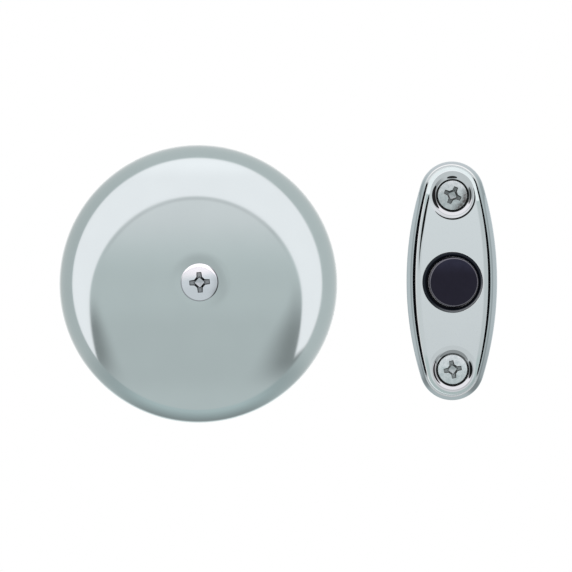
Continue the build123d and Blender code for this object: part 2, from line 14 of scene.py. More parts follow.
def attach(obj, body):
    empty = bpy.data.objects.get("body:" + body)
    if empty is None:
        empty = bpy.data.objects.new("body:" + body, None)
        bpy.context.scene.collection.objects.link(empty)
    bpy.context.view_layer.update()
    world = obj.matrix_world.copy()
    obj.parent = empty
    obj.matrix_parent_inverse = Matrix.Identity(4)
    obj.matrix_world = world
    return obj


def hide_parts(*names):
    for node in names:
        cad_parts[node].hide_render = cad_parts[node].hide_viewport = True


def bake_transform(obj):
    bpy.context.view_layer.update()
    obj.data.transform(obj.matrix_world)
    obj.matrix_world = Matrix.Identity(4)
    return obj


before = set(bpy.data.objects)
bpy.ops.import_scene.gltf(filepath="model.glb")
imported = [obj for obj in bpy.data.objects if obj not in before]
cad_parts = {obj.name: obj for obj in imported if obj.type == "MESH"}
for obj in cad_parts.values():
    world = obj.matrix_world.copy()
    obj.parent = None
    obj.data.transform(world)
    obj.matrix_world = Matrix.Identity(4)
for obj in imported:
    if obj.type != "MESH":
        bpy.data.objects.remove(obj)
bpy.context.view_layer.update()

METRES = 0.001

# Places of the push unit, of its screws and pegs, and of the hammer's pivot
PUSH_X = 68.5
PUSH_Z = 0.4
OUTLINE_Z = 0.85
HALF_SCREW_SPACING = 23.5
HALF_PEG_SPACING = 11.0
SEAT_HEIGHTS = (PUSH_Z + HALF_SCREW_SPACING, PUSH_Z - HALF_SCREW_SPACING)
PEG_HEIGHTS = (PUSH_Z + HALF_PEG_SPACING, PUSH_Z - HALF_PEG_SPACING)
PIVOT_X = -22.0
PIVOT_Z = -7.0

# Gong meridian
GONG_RADIUS = 37.5
GONG_WALL = 1.5
RIM_DEPTH = 2.0
SKIRT_HEIGHT = 2.0
SKIRT_SLOPE = radians(80)
SHOULDER_RADIUS = 11.85
CROWN_EDGE_SLOPE = radians(45)
LAND_RADIUS = 6.0
GONG_HOLE_RADIUS = 2.65

# Screw heads and the half spans of their cross recesses
SCREW_RADIUS = 5.0
SCREW_HEIGHT = 3.7
SCREW_DOME = 1.45
GONG_RECESS = 2.8
WOOD_SCREW_RADIUS = 4.0
WOOD_SCREW_RIM = 4.0
WOOD_SCREW_DOME = 1.0
PLATE_RECESS = 2.5

# Push plate
PLATE_WIDTH = 24.5
PLATE_END_RADIUS = 8.75
PANEL_FRONT = 5.2
FLANK_DROP = 0.45
BAND_TOP = 2.5
BAND_SIDE = 1.72
BAND_END = 1.1
GROOVE_SIDE = 0.72
GROOVE_FLOOR = 2.0
HOLLOW_INSET = 3.9
HOLLOW_FRONT = 3.4
SEAT_RADIUS = 6.5
PEG_RADIUS = 1.0
BEZEL_RADIUS = 8.2
# How much further out the arcs of the panel's ends are centred than those of the outline
PANEL_POINTING = 0.45
# How far the groove and panel lie to the left of the outline's middle
PANEL_SHIFT = 0.15

# A radius below this one is a point on the axis
ON_AXIS = 1e-6


# Mesh building

def new_object(name, bm):
    """Object from a bmesh in millimetres, with outward faces."""
    bmesh.ops.recalc_face_normals(bm, faces=bm.faces)
    mesh = bpy.data.meshes.new(name)
    bm.to_mesh(mesh)
    bm.free()
    made = bpy.data.objects.new(name, mesh)
    bpy.context.scene.collection.objects.link(made)
    return made


def rounded(corners, steps=5):
    """Section points from (across, depth, radius) corners, each with its arc."""
    points = []
    for index, (across, depth, radius) in enumerate(corners):
        corner = Vector((across, depth))
        if not radius:
            points.append(tuple(corner))
            continue
        back = (Vector(corners[index - 1][:2]) - corner).normalized()
        onward = (Vector(corners[(index + 1) % len(corners)][:2]) - corner).normalized()
        half_angle = acos(max(-1, min(1, back.dot(onward)))) / 2
        middle = corner + (back + onward).normalized() * radius / sin(half_angle)
        first = corner + back * radius / tan(half_angle) - middle
        last = corner + onward * radius / tan(half_angle) - middle
        for step in range(steps + 1):
            share = step / steps
            points.append(tuple(middle + first.lerp(last, share).normalized() * radius))
    return points


def arc(across, depth, radius, start, end, steps):
    """Points of an arc by its slope, where slope 0 faces forward."""
    slopes = [start + (end - start) * step / steps for step in range(steps + 1)]
    return [(across + radius * sin(slope), depth + radius * cos(slope)) for slope in slopes]


def skin(name, rings, closed=False, capped=False, slots=()):
    """Mesh that runs through rings of points; caps close its two ends with flat faces.

    Slots gives the material slot of each step from ring to ring, where it isn't the first one.
    """
    bm = bmesh.new()
    rows = [[bm.verts.new(point) for point in ring] for ring in rings]
    pairs = list(zip(rows, rows[1:]))
    if closed:
        pairs.append((rows[-1], rows[0]))
    for step, (first, second) in enumerate(pairs):
        count = max(len(first), len(second))
        for index in range(count):
            after = (index + 1) % count
            loop = [
                first[index % len(first)],
                first[after % len(first)],
                second[after % len(second)],
                second[index % len(second)],
            ]
            face = bm.faces.new(list(dict.fromkeys(loop)))
            if step < len(slots):
                face.material_index = slots[step]
    if capped:
        bm.faces.new(rows[0])
        bm.faces.new(rows[-1])
    return new_object(name, bm)


def turned(name, section, x=0, z=0, segments=96, closed=False):
    """Turned piece about a forward axis."""
    turns = [2 * pi * index / segments for index in range(segments)]
    rings = []
    for radius, depth in section:
        if radius < ON_AXIS:
            rings.append([(x, -depth, z)])
        else:
            rings.append([(x + radius * cos(turn), -depth, z + radius * sin(turn)) for turn in turns])
    return skin(name, rings, closed)


def plug(name, radius, back, front, z, segments):
    """Plain cylinder on the push unit's middle line."""
    section = [(0, back), (radius, back), (radius, front), (0, front)]
    return turned(name, section, PUSH_X, z, segments)


def apply_modifiers(piece):
    """Replace the mesh by what its modifiers make of it."""
    graph = bpy.context.evaluated_depsgraph_get()
    made = bpy.data.meshes.new_from_object(piece.evaluated_get(graph))
    piece.modifiers.clear()
    piece.data = made


def combine(piece, others, operation):
    """Add other solids to a piece or cut them out of it, then delete them."""
    for other in others:
        step = piece.modifiers.new("combine", "BOOLEAN")
        step.operation = operation
        step.solver = "EXACT"
        step.object = other
    apply_modifiers(piece)
    for other in others:
        bpy.data.objects.remove(other)


def finish_mesh(piece, *materials, sharp=28, weighted=True):
    """Bring a piece to metres, shade it smooth between its sharp edges and add its materials."""
    piece.data.transform(Matrix.Scale(METRES, 4))
    piece.data.shade_smooth()
    piece.data.set_sharp_from_angle(angle=radians(sharp))
    if weighted:
        weights = piece.modifiers.new("weights", "WEIGHTED_NORMAL")
        weights.keep_sharp = True
    for material in materials:
        piece.data.materials.append(material)


# Shader building

class Net:
    """Small helper that adds and links nodes in one node tree."""

    def __init__(self, tree):
        self.tree = tree
        tree.nodes.clear()

    def node(self, kind, **settings):
        made = self.tree.nodes.new("ShaderNode" + kind)
        for key, value in settings.items():
            setattr(made, key, value)
        return made

    def feed(self, socket, value):
        if isinstance(value, bpy.types.NodeSocket):
            self.tree.links.new(value, socket)
        else:
            socket.default_value = value

    def math(self, operation, *values):
        made = self.node("Math", operation=operation)
        for socket, value in zip(made.inputs, values):
            self.feed(socket, value)
        return made.outputs[0]

    def ramp(self, value, low, high, bottom=0.0, top=1.0, smooth=True):
        """Value mapped from low..high to bottom..top, clamped."""
        made = self.node("MapRange", interpolation_type="SMOOTHSTEP" if smooth else "LINEAR")
        for name, given in (
            ("Value", value), ("From Min", low), ("From Max", high), ("To Min", bottom), ("To Max", top),
        ):
            self.feed(made.inputs[name], given)
        return made.outputs[0]

    def mix(self, share, first, second):
        """Blend of two colours or numbers, where a share (value, low, high) stands for its ramp."""
        if isinstance(share, tuple):
            share = self.ramp(*share)
        colours = any(
            isinstance(value, tuple)
            or (isinstance(value, bpy.types.NodeSocket) and value.type in ("RGBA", "VECTOR"))
            for value in (first, second)
        )
        made = self.node("Mix", data_type="RGBA" if colours else "FLOAT")
        # The node's sockets for colours come after those for numbers and vectors
        first_input, result = (6, 2) if colours else (2, 0)
        self.feed(made.inputs[0], share)
        for slot, value in enumerate((first, second), first_input):
            if isinstance(value, tuple):
                value = (*value, 1.0)
            self.feed(made.inputs[slot], value)
        return made.outputs[result]

    def length(self, first, second):
        """Length of a flat vector."""
        squares = [self.math("MULTIPLY", value, value) for value in (first, second)]
        return self.math("SQRT", self.math("ADD", *squares))

    def weigh(self, first, second, first_share, second_share):
        """Weighted sum of two numbers."""
        return self.math("MULTIPLY_ADD", first, first_share, self.math("MULTIPLY", second, second_share))

    def every(self, *masks):
        """Product of several masks, where (value, low, high) stands for the ramp between the two."""
        values = [self.ramp(*mask) if isinstance(mask, tuple) else mask for mask in masks]
        product = values[0]
        for value in values[1:]:
            product = self.math("MULTIPLY", product, value)
        return product

    def window(self, value, low, high, soft):
        """Mask that is one between two limits and fades outside them."""
        return self.every((value, low - soft, low), (value, high + soft, high))

    def scale(self, vector, factor):
        """Vector or colour times a number."""
        made = self.node("VectorMath", operation="SCALE")
        self.feed(made.inputs[0], vector)
        self.feed(made.inputs["Scale"], factor)
        return made.outputs[0]

    def dim(self, colour, strength, *masks):
        """Colour darkened by a strength where all masks are one."""
        return self.scale(colour, self.math("MULTIPLY_ADD", self.every(*masks), -strength, 1.0))

    def split(self, vector):
        made = self.node("SeparateXYZ")
        self.feed(made.inputs[0], vector)
        return made.outputs

    def noise(self, place, scale, detail, roughness=0.55):
        made = self.node("TexNoise")
        self.feed(made.inputs["Vector"], place)
        made.inputs["Scale"].default_value = scale
        made.inputs["Detail"].default_value = detail
        made.inputs["Roughness"].default_value = roughness
        return made.outputs[0]

    def bump(self, height, distance, strength):
        made = self.node("Bump")
        self.feed(made.inputs["Height"], height)
        made.inputs["Distance"].default_value = distance * METRES
        made.inputs["Strength"].default_value = strength
        return made.outputs[0]

    def surface(self, colour, metallic, roughness, normal=None, specular=0.5):
        """Surface of the material; a roughness (noise, low, high) varies with the noise."""
        made = self.node("BsdfPrincipled")
        if isinstance(roughness, tuple):
            noise, low, high = roughness
            roughness = self.ramp(noise, 0.3, 0.7, low, high)
        self.feed(made.inputs["Base Color"], colour)
        made.inputs["Metallic"].default_value = metallic
        made.inputs["Specular IOR Level"].default_value = specular
        self.feed(made.inputs["Roughness"], roughness)
        if normal is not None:
            self.feed(made.inputs["Normal"], normal)
        self.output("OutputMaterial", made.outputs[0])

    def output(self, kind, result):
        self.feed(self.node(kind).inputs["Surface"], result)


def new_material(name):
    """Material with its net, and the place on the object in millimetres."""
    material = bpy.data.materials.new(name)
    material.use_nodes = True
    net = Net(material.node_tree)
    on_object = net.node("TexCoord").outputs["Object"]
    return material, net, net.scale(on_object, 1 / METRES)


def polar(net, place, x, z):
    """Distance from a forward axis in millimetres, and the direction from it."""
    across, _, up = net.split(place)
    from_x = net.math("SUBTRACT", across, x)
    from_z = net.math("SUBTRACT", up, z)
    radius = net.length(from_x, from_z)
    safe = net.math("MAXIMUM", radius, 0.001)
    return radius, net.math("DIVIDE", from_x, safe), net.math("DIVIDE", from_z, safe)


# Materials

def gong_chrome():
    """Satin polished chrome with a faint haze and painted shade in a ring round its screw."""
    material, net, place = new_material("gong_chrome")
    cloud = net.noise(place, 0.11, 2.0)
    grain = net.noise(place, 5.0, 2.0)
    colour = net.mix(cloud, (0.470, 0.550, 0.556), (0.495, 0.580, 0.585))
    radius, to_x, to_z = polar(net, place, 0, 0)
    # Painted shade in a ring round the screw head, strongest towards its upper right
    ring = net.window(radius, 4.0, 6.4, 2.4)
    upper_right = net.weigh(to_x, to_z, 0.6, 0.8)
    colour = net.dim(colour, 0.17, ring, (upper_right, -0.9, 0.8))
    roughness = net.ramp(cloud, 0.3, 0.7, 0.065, 0.09)
    roughness = net.mix((radius, 33.8, 34.2), roughness, 0.12)
    normal = net.bump(grain, 0.0015, 0.4)
    net.surface(colour, 1.0, roughness, normal)
    return material


# Painted dark lines in the seats, standing for shade and dark reflections: seat, radius, half width,
# direction, cosine of the half span, depth of tone
PAINTED_SEAT_LINES = (
    ("upper", 5.12, 0.50, (-0.992, -0.122), 0.79, 0.98),
    ("upper", 4.62, 0.20, (-0.992, -0.122), 0.85, 0.30),
    ("upper", 4.95, 0.17, (1.0, -0.02), 0.88, 0.95),
    ("upper", 4.65, 0.24, (1.0, -0.02), 0.90, 0.60),
    ("upper", 4.88, 0.34, (-0.03, 1.0), 0.955, 0.95),
    ("upper_rim", 6.14, 0.25, (0.52, -0.854), 0.16, 0.98),
    ("lower", 5.08, 0.27, (-0.983, -0.182), 0.78, 0.97),
    ("lower", 4.66, 0.24, (-0.983, -0.182), 0.80, 0.35),
    ("lower", 4.99, 0.36, (1.0, -0.02), 0.88, 0.98),
    ("lower", 4.60, 0.25, (1.0, 0.0), 0.82, 0.35),
    ("lower", 4.75, 0.55, (0.10, 0.995), 0.60, 0.52),
    ("lower", 4.48, 0.20, (0.03, -1.0), 0.955, 0.45),
)


def plate_chrome():
    """Bright chrome on a die casting, with a band painted darker, painted highlights and shade along the
    band, and painted shade and dark lines in the screw seats.
    """
    material, net, place = new_material("plate_chrome")
    cloud = net.noise(place, 0.16, 2.0)
    ripple = net.noise(place, 0.45, 1.0)
    _, along, up = net.split(place)
    depth = net.math("MULTIPLY", along, -1.0)

    # Painted light and shade on the band: its chrome is painted darker than the face; along the sides a
    # painted highlight lies on its outer half and a line of painted shade beside its inner edge, and at
    # the ends a painted highlight runs along that edge, brighter at the top end
    face = net.mix(cloud, (0.635, 0.695, 0.715), (0.655, 0.715, 0.735))
    band = net.mix(cloud, (0.440, 0.516, 0.532), (0.456, 0.530, 0.550))
    from_middle = net.math("ABSOLUTE", net.math("SUBTRACT", up, OUTLINE_Z))
    at_end = net.ramp(from_middle, 24.0, 30.0)
    band_edge_highlight = net.every((depth, 2.16, 2.05), (at_end, 1.0, 0.0))
    band = net.mix(band_edge_highlight, band, (0.500, 0.575, 0.600))
    band = net.dim(band, 0.24, net.window(depth, 2.17, 2.30, 0.05), (at_end, 1.0, 0.0))
    # Painted highlight along the band's inner edge at the ends, brighter at the top end
    bright = net.mix((up, -5.0, 5.0), (0.538, 0.560, 0.560), (0.912, 0.950, 0.950))
    band = net.mix(net.every((depth, 2.34, 2.42), at_end), band, bright)
    colour = net.mix((depth, 2.8, 2.5), face, band)

    # The painted shade in the gap round each head is widest below, so its circle lies lower
    upper, lower = SEAT_HEIGHTS
    rim_left, rim_down, gap_down = 0.15, 0.32, 0.08
    seats = {
        "upper": polar(net, place, PUSH_X, upper),
        "upper_rim": polar(net, place, PUSH_X - rim_left, upper - rim_down),
        "upper_gap": polar(net, place, PUSH_X, upper - gap_down),
        "lower": polar(net, place, PUSH_X, lower),
        "lower_gap": polar(net, place, PUSH_X, lower - gap_down),
    }
    front = net.ramp(depth, 3.7, 3.9)
    # Painted shade in each seat: on its steep sides to the left and right, over the crescent below its
    # head, and on the lower seat's outer part below
    for seat, below in (("upper", 0.0), ("lower", 0.22)):
        radius, _, to_z = seats[seat]
        steep = net.window(radius, 4.5, 5.5, 0.15)
        colour = net.dim(colour, 0.28, steep, net.window(to_z, -0.30, 0.30, 0.25))
        crescent = net.window(radius, 4.75, 5.6, 0.2)
        colour = net.dim(colour, 0.24, crescent, (to_z, -0.2, -0.5))
        outer_part = net.window(radius, 5.6, SEAT_RADIUS, 0.2)
        colour = net.dim(colour, below, outer_part, (to_z, -0.3, -0.8))
    # A little painted shade over the upper seat's upper part
    radius, _, to_z = seats["upper"]
    colour = net.dim(colour, 0.05, net.window(radius, 4.5, 6.45, 0.1), (to_z, -0.2, 0.5))
    # Painted dark lines of shade and reflection in the seats
    for seat, middle, half_width, (x, z), span, strength in PAINTED_SEAT_LINES:
        radius, to_x, to_z = seats[seat]
        toward = net.weigh(to_x, to_z, x, z)
        taper = net.math("SQRT", net.ramp(toward, span, 1.0, smooth=False))
        half = net.math("MULTIPLY", taper, half_width)
        away = net.math("ABSOLUTE", net.math("SUBTRACT", radius, middle))
        line = net.math("SUBTRACT", away, half)
        colour = net.dim(colour, strength, (line, 0.04, -0.04), front, (toward, span, span + 0.01))

    # Painted shade fills the gap round each head; it is paler at the top of the lower one
    for seat, paler in (("upper_gap", 0.0), ("lower_gap", 0.16)):
        radius, to_x, to_z = seats[seat]
        at_top = net.ramp(net.weigh(to_x, to_z, 0.35, 0.94), 0.55, 0.85)
        dark = net.math("MULTIPLY_ADD", at_top, -paler, 0.985)
        colour = net.dim(colour, 1.0, front, (radius, 4.53, 4.47), dark)
    net.surface(colour, 1.0, (cloud, 0.045, 0.07), net.bump(ripple, 0.004, 0.35))
    return material


def groove_shade():
    """Painted shade down in the groove along the plate's sides, which thins out at its ends."""
    material, net, place = new_material("groove_shade")
    across, along, up = net.split(place)
    shade_noise = net.noise(place, 1.2, 2.0)
    right = net.ramp(across, PUSH_X - 1, PUSH_X + 1)
    top = net.ramp(right, 0.0, 1.0, 27.3, 28.6)
    from_top = net.math("SUBTRACT", top, up)
    # Painted shade, near black, down the sides of the groove; elsewhere the groove is painted lighter
    # above than below
    dark = net.every((from_top, -0.6, 0.6), (up, -25.6, -23.6), (along, -3.4, -3.0))
    painted_groove_shade = net.mix(shade_noise, (0.001, 0.001, 0.002), (0.004, 0.005, 0.006))
    groove_lit_from_above = net.mix((up, -5.0, 5.0), (0.50, 0.56, 0.575), (0.66, 0.72, 0.74))
    colour = net.mix(dark, groove_lit_from_above, painted_groove_shade)
    net.surface(colour, 1.0, net.mix(dark, 0.15, 0.5))
    return material


def flank_chrome():
    """Chrome of the panel's sloping edge with painted light and shade: brightest at the ends, painted
    darker on the right, with a painted highlight along its top and a painted dark reflection line at its
    upper left.
    """
    material, net, place = new_material("flank_chrome")
    across, along, up = net.split(place)
    right = net.ramp(across, PUSH_X - 1, PUSH_X + 1)
    at_end = net.ramp(net.math("ABSOLUTE", net.math("SUBTRACT", up, OUTLINE_Z)), 19.0, 22.0)
    # The right side is painted darker, as shade
    side = net.mix(right, (0.625, 0.690, 0.705), (0.545, 0.610, 0.625))
    colour = net.mix(at_end, side, (0.490, 0.590, 0.590))
    drop = net.math("ADD", along, PANEL_FRONT)
    # Painted highlight along the top of the flank
    colour = net.mix((drop, 0.12, 0.02), colour, (0.64, 0.70, 0.72))
    # Painted dark reflection line at the upper left, which widens upward
    widening = net.ramp(up, 6.0, 19.0)
    low = net.ramp(widening, 0.0, 1.0, 0.13, 0.0)
    high = net.ramp(widening, 0.0, 1.0, 0.255, 0.26)
    above_low = (net.math("SUBTRACT", drop, low), 0.0, 0.02)
    below_high = (net.math("SUBTRACT", high, drop), 0.0, 0.02)
    left = net.math("SUBTRACT", 1.0, right)
    colour = net.dim(colour, 0.985, above_low, below_high, left, (up, 2.0, 10.0), (up, 24.6, 23.4))
    net.surface(colour, 1.0, 0.06)
    return material


def zinc_sheet():
    """Matt zinc plate with a fine crystalline grain."""
    material, net, place = new_material("zinc_sheet")
    spangle = net.noise(place, 1.1, 3.0)
    grain = net.noise(place, 1.2, 4.0, 0.7)
    tone = net.mix((spangle, 0.3, 0.7), (0.508, 0.525, 0.517), (0.62, 0.64, 0.63))
    net.surface(tone, 1.0, (grain, 0.26, 0.40), net.bump(grain, 0.01, 0.6))
    return material


def dome_sphere(radius, height):
    """Radius of the sphere that a shallow dome is part of."""
    return (radius**2 + height**2) / (2 * height)


def sunk(net, place, radius, front, height, head_radius):
    """How far a point lies below a screw's domed face, in millimetres."""
    sphere = dome_sphere(head_radius, height)
    square = net.math("SUBTRACT", sphere**2, net.math("MULTIPLY", radius, radius))
    rise = net.math("SQRT", net.math("MAXIMUM", square, 0.0))
    dome_depth = net.math("ADD", rise, front - sphere)
    return net.math("ADD", dome_depth, net.split(place)[1])


def recess_shade(net, colour, radius, sink, half_span, wall, floor, centre):
    """Painted shade in a cross recess: dark walls, darker arms and a paler middle."""
    inside = net.every(
        (radius, half_span + 0.15, half_span + 0.05),
        net.window(sink, 0.05, 0.68 * half_span, 0.05),
    )
    normal = net.node("TexCoord").outputs["Normal"]
    facing = net.math("MULTIPLY", net.split(normal)[1], -1.0)
    arm_start, middle_end = 0.42 * half_span, 0.52 * half_span
    colour = net.dim(colour, floor, inside, (radius, arm_start, middle_end))
    colour = net.dim(colour, centre, inside, (radius, middle_end, arm_start))
    return net.dim(colour, wall, inside, (facing, 0.92, 0.80))


def screw_chrome():
    """Polished head with painted light and shade: lighter above, painted shade on its right and along its
    lower edge, and painted shade in its recess.
    """
    material, net, place = new_material("screw_chrome")
    grain = net.noise(place, 3.0, 3.0)
    radius, to_x, to_z = polar(net, place, 0, 0)
    colour = net.mix(grain, (0.640, 0.705, 0.750), (0.680, 0.745, 0.795))
    across, along, up = net.split(place)
    # Painted light: the head is lighter towards its top
    above = net.math("MULTIPLY_ADD", across, -0.25, up)
    colour = net.mix((above, 0.8, 2.8), colour, (0.79, 0.82, 0.86))
    # Painted shade over the right of the head
    colour = net.dim(colour, 0.18, (radius, 2.5, 4.8), (to_x, 0.4, 1.0), (to_z, 0.6, 0.2))
    sink = sunk(net, place, radius, GONG_DEPTH + SCREW_HEIGHT, SCREW_DOME, SCREW_RADIUS)
    # Painted shade in the cross recess
    colour = recess_shade(net, colour, radius, sink, GONG_RECESS, wall=0.97, floor=0.62, centre=0.28)
    # Painted shade along the dome's edge, over its lower half and darkest at its right
    edge_depth = GONG_DEPTH + SCREW_HEIGHT - SCREW_DOME
    edge = net.every((radius, 4.62, 4.88), (along, 0.3 - edge_depth, -edge_depth))
    rightward = net.weigh(to_x, to_z, 0.96, 0.05)
    colour = net.dim(colour, 0.55, edge, (to_z, 0.45, 0.0))
    colour = net.dim(colour, 0.90, edge, (rightward, 0.45, 0.80))
    net.surface(colour, 1.0, (grain, 0.11, 0.15), net.bump(grain, 0.004, 0.5))
    return material


def screw_zinc(name, z, stained):
    """Matt zinc plated screw head with sparkling grain, and a brown stain where it is worn."""
    material, net, place = new_material(name)
    grain = net.noise(place, 2.6, 4.0, 0.7)
    spangle = net.noise(place, 1.3, 3.0, 0.7)
    pale, dull = (0.68, 0.76, 0.775), (0.53, 0.62, 0.635)
    colour = net.mix((spangle, 0.35, 0.65), dull, pale)
    radius, to_x, to_z = polar(net, place, PUSH_X, z)
    if stained:
        colour = net.dim(colour, 0.32, (grain, 0.2, 0.8))
        toward = net.weigh(to_x, to_z, 0.88, -0.47)
        stain = net.every((radius, 2.2, 3.5), (toward, 0.35, 0.95), (spangle, 0.15, 0.6))
        colour = net.mix(stain, colour, (0.13, 0.125, 0.125))
    else:
        colour = net.dim(colour, 0.10, (to_z, 0.2, 1.0))
    front = WOOD_SCREW_RIM + WOOD_SCREW_DOME
    sink = sunk(net, place, radius, front, WOOD_SCREW_DOME, WOOD_SCREW_RADIUS)
    # Painted shade in the cross recess, its arms a little darker on the stained screw
    floor = 0.70 if stained else 0.60
    colour = recess_shade(net, colour, radius, sink, PLATE_RECESS, wall=0.90, floor=floor, centre=0.24)
    net.surface(colour, 1.0, (grain, 0.34, 0.5), net.bump(grain, 0.05, 0.7))
    return material


def turned_metal(name, colour, roughness, x, z, pitch=0.12):
    """Turned metal with fine rings about a forward axis."""
    material, net, place = new_material(name)
    cloud = net.noise(place, 0.6, 3.0)
    radius = polar(net, place, x, z)[0]
    along = net.split(place)[1]
    cut = net.math("SINE", net.math("MULTIPLY", net.math("ADD", radius, along), 2 * pi / pitch))
    darker = tuple(0.85 * channel for channel in colour)
    tone = net.mix((cloud, 0.35, 0.65), darker, colour)
    normal = net.bump(cut, 0.002, 0.5)
    net.surface(tone, 1.0, (cloud, roughness - 0.05, roughness + 0.05), normal)
    return material


def moulded(name, colour, roughness, specular=0.5, grain_height=0.004, grain_scale=6.0):
    """Moulded plastic or rubber with a fine grain."""
    material, net, place = new_material(name)
    cloud = net.noise(place, 0.5, 3.0)
    grain = net.noise(place, grain_scale, 2.0)
    lighter = tuple(1.15 * channel + 0.001 for channel in colour)
    tone = net.mix(cloud, colour, lighter)
    rough = (cloud, roughness - 0.05, roughness + 0.05)
    net.surface(tone, 0.0, rough, net.bump(grain, grain_height, 0.5), specular)
    return material


def housing_black():
    """Black moulding, a little lighter on its front rim, with a painted highlight on the rim's lower
    right.
    """
    material, net, place = new_material("housing_black")
    grain = net.noise(place, 6.0, 2.0)
    radius, to_x, to_z = polar(net, place, PUSH_X, PUSH_Z)
    front = net.ramp(net.split(place)[1], -3.0, -4.0)
    rim = net.every(front, (radius, 7.25, 7.75))
    toward = net.ramp(net.weigh(to_x, to_z, 0.57, -0.82), 0.15, 0.95)
    # Painted highlight on the front rim, strongest at its lower right
    painted_highlight = net.every(front, net.window(radius, 7.72, 8.02, 0.14), toward)
    tone = net.mix(rim, (0.0005, 0.0012, 0.0042), (0.018, 0.023, 0.029))
    tone = net.mix(painted_highlight, tone, (0.19, 0.205, 0.22))
    net.surface(tone, 0.0, (grain, 0.40, 0.50), net.bump(grain, 0.002, 0.4), 0.02)
    return material


# Gong

def gong_sections():
    """Front, points and place of the rim for the gong's outer and inner meridian."""
    skirt_run = SKIRT_HEIGHT / tan(SKIRT_SLOPE)
    shoulder_across = GONG_RADIUS - skirt_run - SHOULDER_RADIUS * sin(SKIRT_SLOPE)
    shoulder_depth = RIM_DEPTH + SKIRT_HEIGHT - SHOULDER_RADIUS * cos(SKIRT_SLOPE)
    edge_across = shoulder_across + SHOULDER_RADIUS * sin(CROWN_EDGE_SLOPE)
    crown_radius = (edge_across - LAND_RADIUS) / sin(CROWN_EDGE_SLOPE)
    crown_depth = shoulder_depth - (crown_radius - SHOULDER_RADIUS) * cos(CROWN_EDGE_SLOPE)
    faces = []
    for inset in (0, GONG_WALL):
        front = crown_depth + crown_radius - inset
        land = [(LAND_RADIUS - step, front) for step in (1.0, 0.5)]
        crown = arc(LAND_RADIUS, crown_depth, crown_radius - inset, 0, CROWN_EDGE_SLOPE, 60)
        shoulder = arc(
            shoulder_across, shoulder_depth, SHOULDER_RADIUS - inset, CROWN_EDGE_SLOPE, SKIRT_SLOPE, 40
        )
        skirt_end = shoulder[-1]
        rim_across = skirt_end[0] + (skirt_end[1] - RIM_DEPTH) / tan(SKIRT_SLOPE)
        faces.append((front, [*land, *crown, *shoulder[1:]], rim_across))
    return faces


GONG_DEPTH = gong_sections()[0][0]


def make_gong():
    """Spun shell with a rounded rim and a small hole for its screw."""
    (front, outer, outer_rim), (back, inner, inner_rim) = gong_sections()
    rim_edges = (outer_rim, RIM_DEPTH, 0.4), (inner_rim, RIM_DEPTH, 0.4)
    rim = rounded([(*outer[-1], 0), *rim_edges, (*inner[-1], 0)])
    hole = (GONG_HOLE_RADIUS, back), (GONG_HOLE_RADIUS, front)
    section = [*hole, *outer[:-1], *rim, *reversed(inner[:-1])]
    gong = turned("gong_shell", section, segments=288, closed=True)
    finish_mesh(gong, gong_chrome(), weighted=False)
    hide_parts("gong")
    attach(gong, "door_fittings")


# Screws

def cross_cutter(x, z, front, half_span, turn):
    """Tapered cross recess: two crossed arms with sloping walls and a diamond in the middle."""
    arms = []
    arm_floor = 0.34 * half_span
    for quarter in (0, 90):
        angle = radians(turn + quarter)
        rings = []
        for level, reach, half_width in (
            (front + 1.0, 1.08 * half_span, 0.36 * half_span),
            (front - 0.15, half_span, 0.265 * half_span),
            (front - arm_floor, 0.90 * half_span, 0.155 * half_span),
        ):
            ring = []
            for a, b in ((1, 1), (-1, 1), (-1, -1), (1, -1)):
                u, v = a * reach, b * half_width
                ring.append((
                    x + u * cos(angle) - v * sin(angle), -level, z + u * sin(angle) + v * cos(angle)
                ))
            rings.append(ring)
        arms.append(skin("recess_arm", rings, capped=True))

    corners = [radians(turn + 90 * quarter) for quarter in range(4)]
    diamonds = []
    for reach, level in (
        (0.95 * half_span, front + 1.0),
        (0.80 * half_span, front - 0.05),
        (0.48 * half_span, front - 0.48 * half_span),
        (0.03 * half_span, front - 0.60 * half_span),
    ):
        diamonds.append([(x + reach * cos(angle), -level, z + reach * sin(angle)) for angle in corners])
    return [*arms, skin("recess_middle", diamonds, capped=True)]


def dome(radius, base, height):
    """Section of a shallow dome, from its rim to its middle."""
    sphere = dome_sphere(radius, height)
    return arc(0, base + height - sphere, sphere, asin(radius / sphere), 0, 16)


def make_gong_screw():
    """Polished pan head screw with a cross recess."""
    shank = 2.45
    tip = GONG_DEPTH - 12.0
    rim = GONG_DEPTH + SCREW_HEIGHT - SCREW_DOME
    edge = [(shank, GONG_DEPTH, 0), (SCREW_RADIUS, GONG_DEPTH, 0.15), (SCREW_RADIUS, rim, 0)]
    body = (0, tip), (shank, tip), (shank, GONG_DEPTH)
    section = [*body, *rounded(edge)[1:-1], *dome(SCREW_RADIUS, rim, SCREW_DOME)]
    screw = turned("gong_screw_body", section)
    combine(screw, cross_cutter(0, 0, GONG_DEPTH + SCREW_HEIGHT, GONG_RECESS, 4), "DIFFERENCE")
    finish_mesh(screw, screw_chrome())
    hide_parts("gong_screw")
    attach(screw, "door_fittings")


